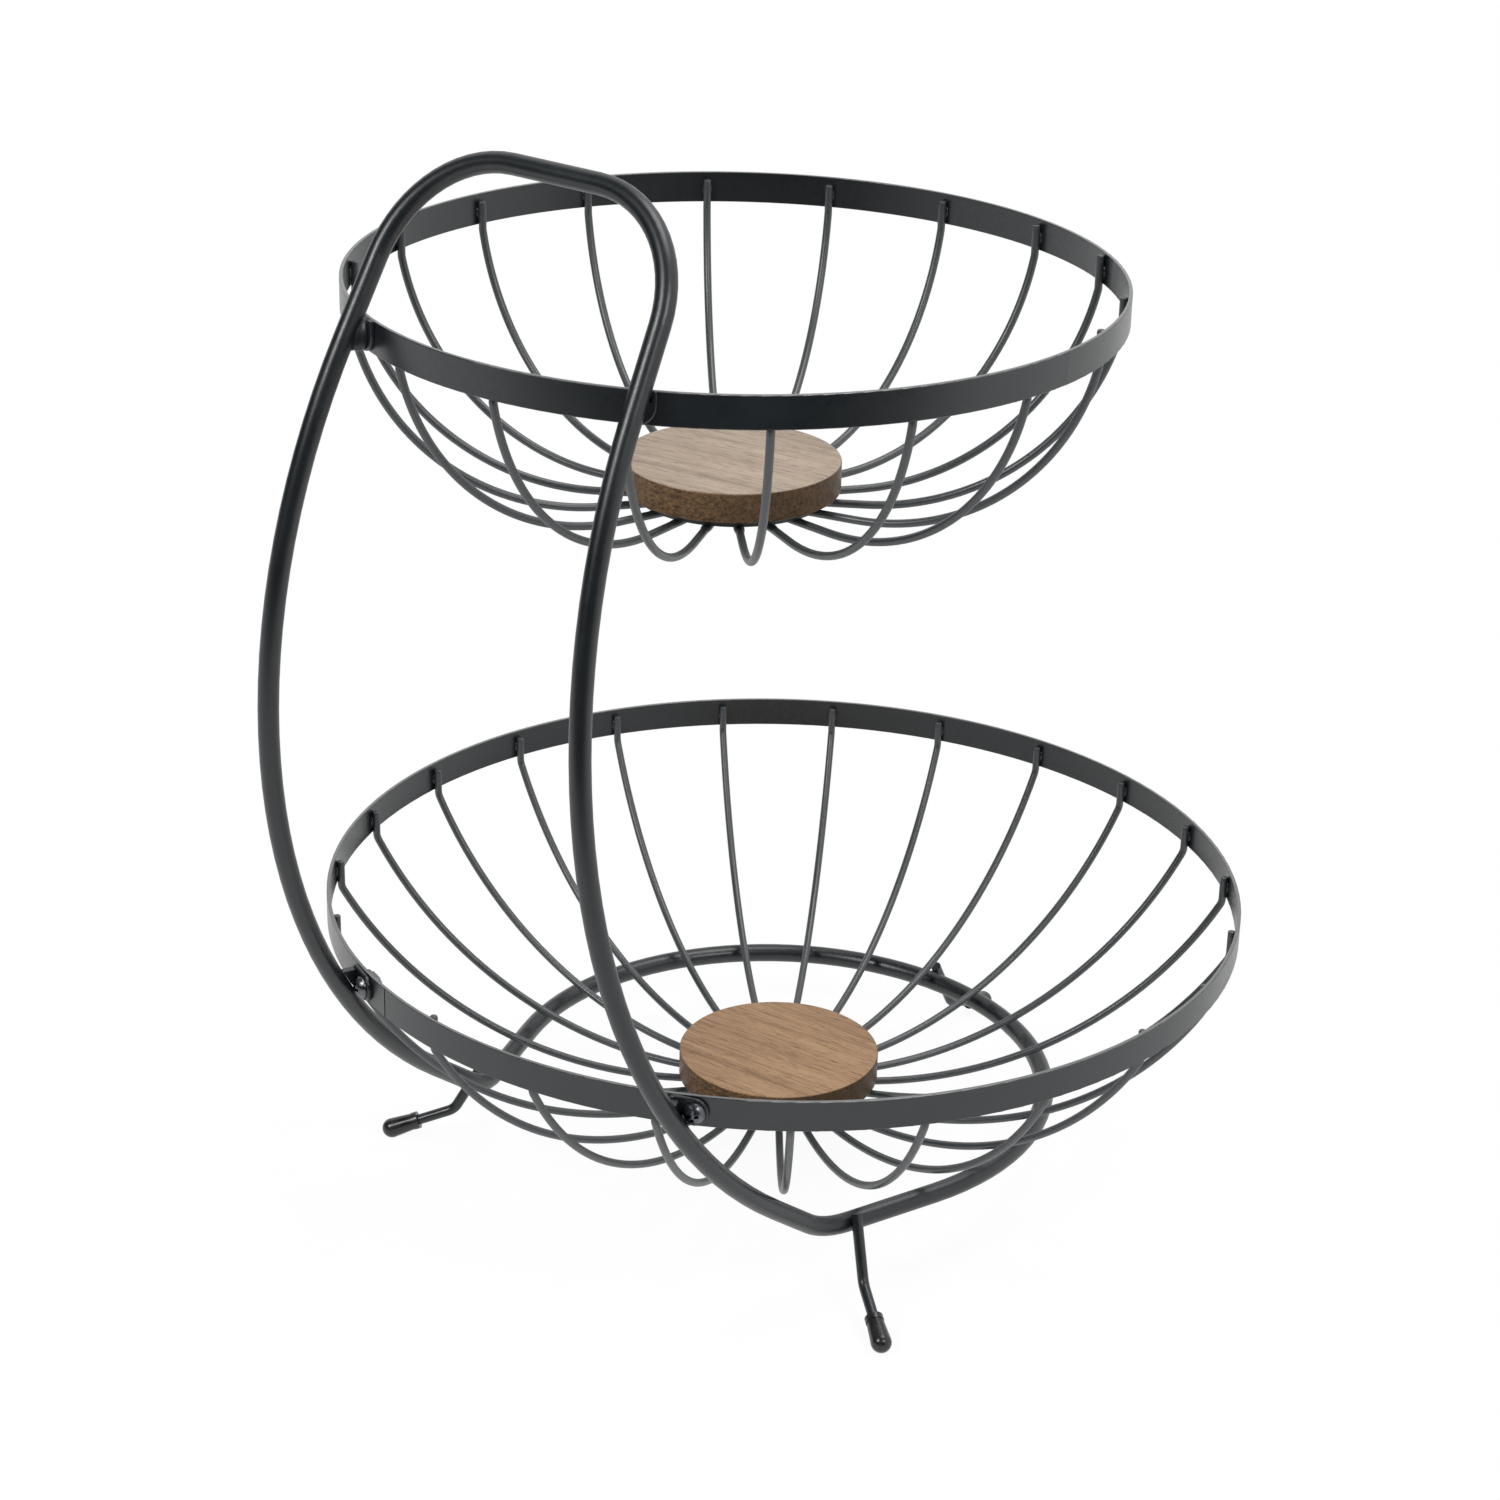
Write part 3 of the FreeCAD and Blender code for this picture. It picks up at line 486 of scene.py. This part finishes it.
def makeTip(name, spec):
    bpy.ops.object.select_all(action="DESELECT")
    depth = spec["rise"] + spec["root"]
    bpy.ops.mesh.primitive_cylinder_add(vertices=spec["sides"], radius=spec["radius"], depth=depth)
    tip = bpy.context.object
    tip.name = name
    bpy.ops.object.mode_set(mode="EDIT")
    bpy.ops.mesh.select_all(action="SELECT")
    bpy.ops.transform.translate(value=(0.0, 0.0, depth / 2 - spec["root"]))
    pickVerts(tip, lambda p: p.z > 0.0)
    bpy.ops.mesh.select_mode(type="EDGE")
    bpy.ops.mesh.bevel(offset=spec["edge"], segments=spec["edgeSteps"])
    bpy.ops.object.mode_set(mode="OBJECT")
    bpy.ops.object.shade_smooth_by_angle(angle=math.radians(spec["smoothAngle"]))
    return tip


def turnedTo(spot, along, up):
    side = up.cross(along).normalized()
    turn = Matrix((along, side, up)).transposed().to_4x4()
    return Matrix.Translation(spot) @ turn


def spreadCopies(first, places, skin):
    name = first.name
    made = []
    for place in places:
        bpy.ops.object.select_all(action="DESELECT")
        first.select_set(True)
        bpy.context.view_layer.objects.active = first
        bpy.ops.object.duplicate(linked=False)
        copy = bpy.context.object
        copy.matrix_world = place
        made.append(copy)
    bpy.data.objects.remove(first, do_unlink=True)
    bpy.ops.object.select_all(action="DESELECT")
    for copy in made:
        copy.select_set(True)
    bpy.context.view_layer.objects.active = made[0]
    bpy.ops.object.join()
    joined = bpy.context.object
    joined.name = name
    bpy.ops.object.transform_apply(location=True, rotation=True, scale=True)
    dress(joined, skin)
    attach(joined, "root")


def pointsOf(nodeName):
    return [v.co.copy() for v in nodes[nodeName].data.vertices]


def meanOf(points):
    return sum(points, Vector()) / len(points)


def levelPart(vector):
    return Vector((vector.x, vector.y, 0.0))


def bowlPlaces(bowlName):
    low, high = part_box(bowlName + "_hub")
    centre = (low + high) / 2
    strip, hub = weldMetal["strip"], weldMetal["hub"]
    hubReach = (high.x - low.x) / 2 + hub["reach"]
    hubLevel = low.z + hub["rise"] - hub["height"] / 2
    stripPlaces = []
    hubPlaces = []
    tipPlaces = []
    for nodeName in nodes:
        if not nodeName.startswith(bowlName + "_rib_"):
            continue
        points = pointsOf(nodeName)
        top = max(p.z for p in points)
        end = meanOf([p for p in points if p.z > top - ribTips["endBand"]])
        outward = levelPart(end - centre).normalized()
        reach = max((p - end).dot(outward) for p in points if p.z > top - strip["endBand"])
        spot = end + outward * reach - upright * strip["down"]
        stripPlaces.append(turnedTo(spot, -upright, -outward))
        edgeSpot = levelPart(centre) + outward * hubReach + upright * hubLevel
        hubPlaces.append(turnedTo(edgeSpot, outward, upright))
        stretch = ribTips["taller"].get(nodeName, ribTips["rise"]) / ribTips["rise"]
        stretched = Matrix.Diagonal((1.0, 1.0, stretch, 1.0))
        tipPlaces.append(Matrix.Translation((end.x, end.y, top)) @ stretched)
    return stripPlaces, hubPlaces, tipPlaces


def footPlaces(spec):
    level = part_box("frame_rod")[0].z + spec["rodRadius"]
    places = []
    for nodeName in nodes:
        if not nodeName.startswith("foot_wire"):
            continue
        near = [p for p in pointsOf(nodeName) if p.z > level - spec["below"]]
        middle = meanOf(near)
        outward = levelPart(middle).normalized()
        spot = middle + outward * min((p - middle).dot(outward) for p in near)
        spot.z = level
        places.append(turnedTo(spot, -upright, -outward))
    return places


def tabPlaces(spec):
    places = []
    for side in (-1.0, 1.0):
        tab = [p for p in pointsOf("upper_lugs") if p.x * side > 0.0]
        middle = Vector([(min(values) + max(values)) / 2 for values in zip(*tab)])
        leg = [p for p in pointsOf("frame_rod")
               if p.x * side > 0.0 and abs(p.z - middle.z) < spec["legReach"]]
        below = meanOf([p for p in leg if p.z < middle.z])
        along = (meanOf([p for p in leg if p.z > middle.z]) - below).normalized()
        legMiddle = below + along * ((middle.z - below.z) / along.z)
        towards = middle - legMiddle
        towards = (towards - along * towards.dot(along)).normalized()
        spot = legMiddle + towards * spec["aside"] + along * spec["rise"]
        places.append(turnedTo(spot, along, towards))
    return places


for bowlName in ("lower", "upper"):
    stripPlaces, hubPlaces, tipPlaces = bowlPlaces(bowlName)
    spreadCopies(makeBlob(bowlName + "StripWelds", "strip"), stripPlaces, coat)
    spreadCopies(makeBlob(bowlName + "HubWelds", "hub"), hubPlaces, litCoat)
    spreadCopies(makeTip(bowlName + "RibTips", ribTips), tipPlaces, litCoat)
spreadCopies(makeBlob("footWelds", "foot"), footPlaces(weldMetal["foot"]), coat)
spreadCopies(makeBlob("upperTabWelds", "tab"), tabPlaces(weldMetal["tab"]), coat)
print("welds and rib ends made")


# floor, world, lamps and dark cards
studio = {
    "floorSize": 8.0,
    "floorTone": (0.86, 0.86, 0.86),
    "whiteShare": 0.94,                  # how much of the floor's shade is washed out in view
    "shadeReach": (0.30, 1.10),          # from here on less shade, and from there on none
    "ambient": 0.42,
    "lamps": [
        # name, place, width, height, watts
        ("keyLamp", (-0.25, -1.40, 1.30), 0.50, 0.50, 16.0),
        ("fillLamp", (1.35, -0.45, 1.30), 0.34, 0.34, 8.0),
        ("topLamp", (0.3, 0.5, 2.1), 1.2, 1.2, 24.0),
    ],
    # dark cards on the camera's side, on the left and overhead, which only reflections see
    "cardTone": 0.012,
    "cardAzimuth": 37.0,
    "cardStart": 0.62,
    "cardLift": 0.002,
    "cardDepth": 1.5,
    "cardHeight": 2.6,
    "cardWidth": 4.0,
    "roofDepth": 3.4,                    # roof and left wing reach back past the object
    "cardTouch": 0.0001,                 # points this near to an edge belong to it
}


def addSeen(tree):
    path = addNode(tree, "ShaderNodeLightPath")
    seen = addMath(tree, "MAXIMUM", path.outputs["Is Camera Ray"], path.outputs["Is Glossy Ray"])
    return addMath(tree, "MAXIMUM", seen, path.outputs["Is Transmission Ray"])


def makeFloor(spec):
    bpy.ops.object.select_all(action="DESELECT")
    bpy.ops.mesh.primitive_plane_add(size=spec["floorSize"], location=(0.0, 0.0, 0.0))
    floor = bpy.context.object
    floor.name = "studioFloor"
    mat, tree, out = newTree("paleFloor")
    matt = addNode(tree, "ShaderNodeBsdfDiffuse", {"Color": (*spec["floorTone"], 1.0)})
    glow = addNode(tree, "ShaderNodeEmission", {"Color": plainWhite, "Strength": 1.0})
    away = addNode(tree, "ShaderNodeVectorMath", {0: addPlace(tree)}, operation="LENGTH")
    white = addRange(tree, away.outputs["Value"], (*spec["shadeReach"], spec["whiteShare"], 1.0))
    share = addMath(tree, "MULTIPLY", addSeen(tree), white)
    both = addNode(tree, "ShaderNodeMixShader", {0: share, 1: matt.outputs[0], 2: glow.outputs[0]})
    tree.links.new(both.outputs[0], out.inputs["Surface"])
    floor.data.materials.append(mat)


def makeWorld(spec):
    world = bpy.data.worlds.new("studioWorld")
    bpy.context.scene.world = world
    world.use_nodes = True
    tree = world.node_tree
    tree.nodes.clear()
    out = addNode(tree, "ShaderNodeOutputWorld")
    strength = addRange(tree, addSeen(tree), (0.0, 1.0, spec["ambient"], 1.0))
    sky = addNode(tree, "ShaderNodeBackground", {"Color": plainWhite, "Strength": strength})
    tree.links.new(sky.outputs[0], out.inputs["Surface"])


def makeLamps(spec):
    aim = (cadBox[0] + cadBox[1]) / 2
    for name, place, width, height, watts in spec["lamps"]:
        lamp = bpy.data.lights.new(name, "AREA")
        lamp.shape = "RECTANGLE"
        lamp.size = width
        lamp.size_y = height
        lamp.energy = watts
        obj = bpy.data.objects.new(name, lamp)
        bpy.context.scene.collection.objects.link(obj)
        obj.location = place
        obj.rotation_euler = (Vector(place) - aim).to_track_quat("Z", "Y").to_euler()


def growEdge(step):
    bpy.ops.mesh.extrude_edges_move(TRANSFORM_OT_translate={"value": step})


def makeCard(spec):
    bpy.ops.object.select_all(action="DESELECT")
    bpy.ops.mesh.primitive_plane_add(size=1.0, location=(0.0, 0.0, 0.0))
    card = bpy.context.object
    card.name = "darkCard"
    bpy.ops.object.mode_set(mode="EDIT")
    bpy.ops.mesh.select_all(action="SELECT")
    bpy.ops.transform.resize(value=(spec["cardWidth"], spec["cardDepth"], 1.0))
    middle = -spec["cardStart"] - spec["cardDepth"] / 2
    bpy.ops.transform.translate(value=(0.0, middle, spec["cardLift"]))
    bpy.ops.object.mode_set(mode="OBJECT")
    # wall and roof grow from the far edge of the card on the floor
    far = min(v.co.y for v in card.data.vertices)
    left = -spec["cardWidth"] / 2
    touch = spec["cardTouch"]
    pickVerts(card, lambda p: abs(p.y - far) < touch)
    bpy.ops.mesh.select_mode(type="EDGE")
    growEdge((0.0, 0.0, spec["cardHeight"]))
    growEdge((0.0, spec["roofDepth"], 0.0))
    # the left wing grows from the wall's left edge
    pickVerts(card, lambda p: abs(p.x - left) < touch and abs(p.y - far) < touch)
    bpy.ops.mesh.select_mode(type="EDGE")
    growEdge((0.0, spec["roofDepth"], 0.0))
    bpy.ops.object.mode_set(mode="OBJECT")
    card.rotation_euler.z = math.radians(spec["cardAzimuth"])
    bpy.ops.object.transform_apply(location=True, rotation=True, scale=True)
    mat, tree, out = newTree("darkCard")
    dim = addNode(tree, "ShaderNodeEmission", {"Color": plainWhite, "Strength": spec["cardTone"]})
    tree.links.new(dim.outputs[0], out.inputs["Surface"])
    card.data.materials.append(mat)
    card.visible_camera = False
    card.visible_diffuse = False
    card.visible_shadow = False


makeFloor(studio)
makeCard(studio)
makeWorld(studio)
makeLamps(studio)
print("studio set")


# camera at the photograph's place
photoCamera = {
    "azimuth": 37.0,
    "elevation": 23.889,
    "roll": 1.439,
    "focalPixels": 3495.6,
    "imagePixels": 1500.0,
    "sensor": 36.0,
    "target": (-57.966 * mm, 56.568 * mm, 109.789 * mm),
    "distance": 1223.369 * mm,
    "clipStart": 0.05,
    "clipEnd": 50.0,
}


def makeCamera(spec):
    a, e, r = (math.radians(spec[key]) for key in ("azimuth", "elevation", "roll"))
    back = Vector((math.sin(a) * math.cos(e), -math.cos(a) * math.cos(e), math.sin(e)))
    right = Vector((math.cos(a), math.sin(a), 0.0))
    up = back.cross(right)
    imageX = right * math.cos(r) + up * math.sin(r)
    imageY = up * math.cos(r) - right * math.sin(r)
    data = bpy.data.cameras.new("photoCamera")
    data.sensor_width = spec["sensor"]
    data.lens = spec["focalPixels"] / spec["imagePixels"] * spec["sensor"]
    data.clip_start = spec["clipStart"]
    data.clip_end = spec["clipEnd"]
    camera = bpy.data.objects.new("photoCamera", data)
    bpy.context.scene.collection.objects.link(camera)
    turn = Matrix((imageX, imageY, back)).transposed().to_4x4()
    camera.matrix_world = Matrix.Translation(Vector(spec["target"]) + back * spec["distance"]) @ turn
    bpy.context.scene.camera = camera


makeCamera(photoCamera)
bpy.context.scene.view_settings.view_transform = "Standard"
